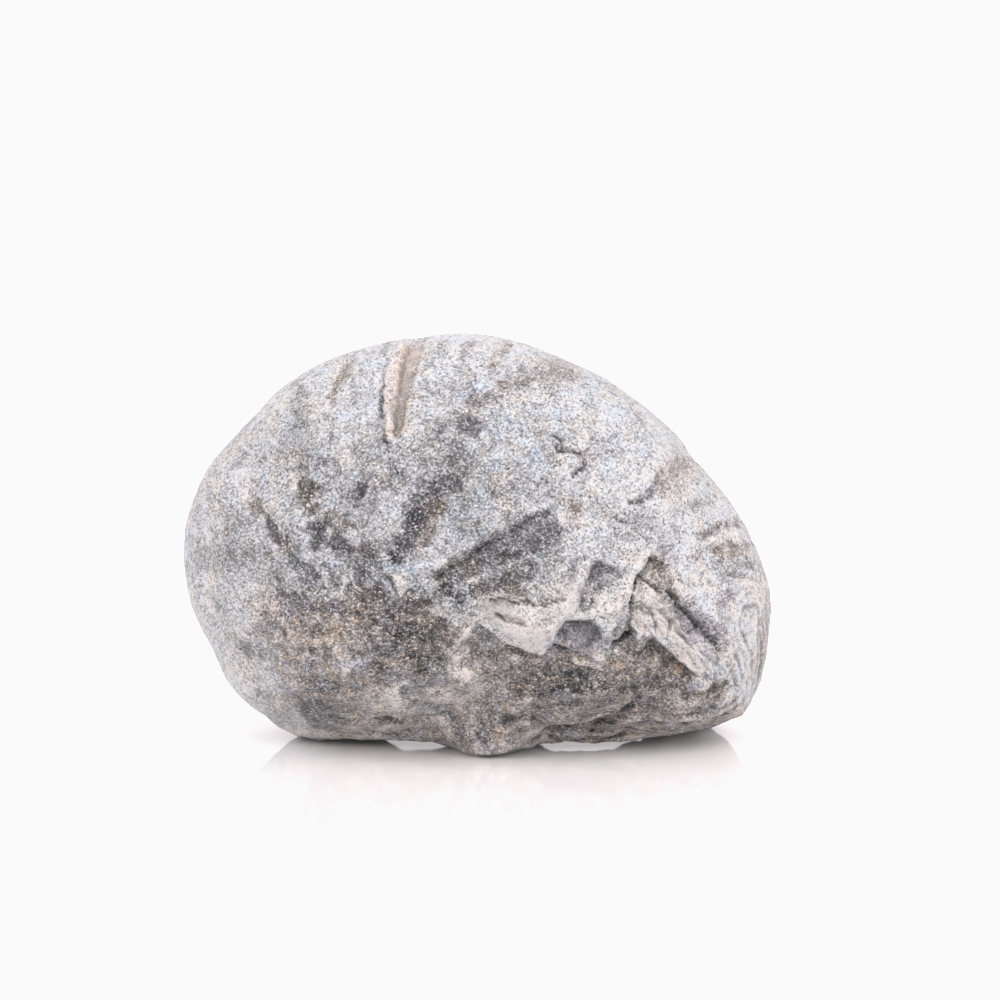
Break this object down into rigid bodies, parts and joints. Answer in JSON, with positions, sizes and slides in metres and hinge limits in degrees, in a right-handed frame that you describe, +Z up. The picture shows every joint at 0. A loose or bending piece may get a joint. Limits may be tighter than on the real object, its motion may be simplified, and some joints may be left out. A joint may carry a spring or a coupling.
{
  "type": "fossil oyster",
  "caption": "Fossil oyster, one piece of grey stone: a pale domed shell with dark furrows fanning from its beak, browner sediment below it, broken shell layers and an open crack at one end.",
  "frame": {"origin": "centre of the bounding box at the level the stone rests on", "axes": "+X along the stone's length, towards its narrow end with the broken shell layers; +Y from the side with the beak to the side away from it; +Z up"},
  "size_m": [0.0906, 0.057, 0.0632],
  "materials": {
    "rock": "dull, grainy grey limestone: pale blue-grey shell flecked with dark specks, dark furrows, brown-grey sediment with rust and tan spots, cream broken edges"
  },
  "bodies": {
    "root": {"fossil_oyster": "rock"}
  },
  "joints": []
}
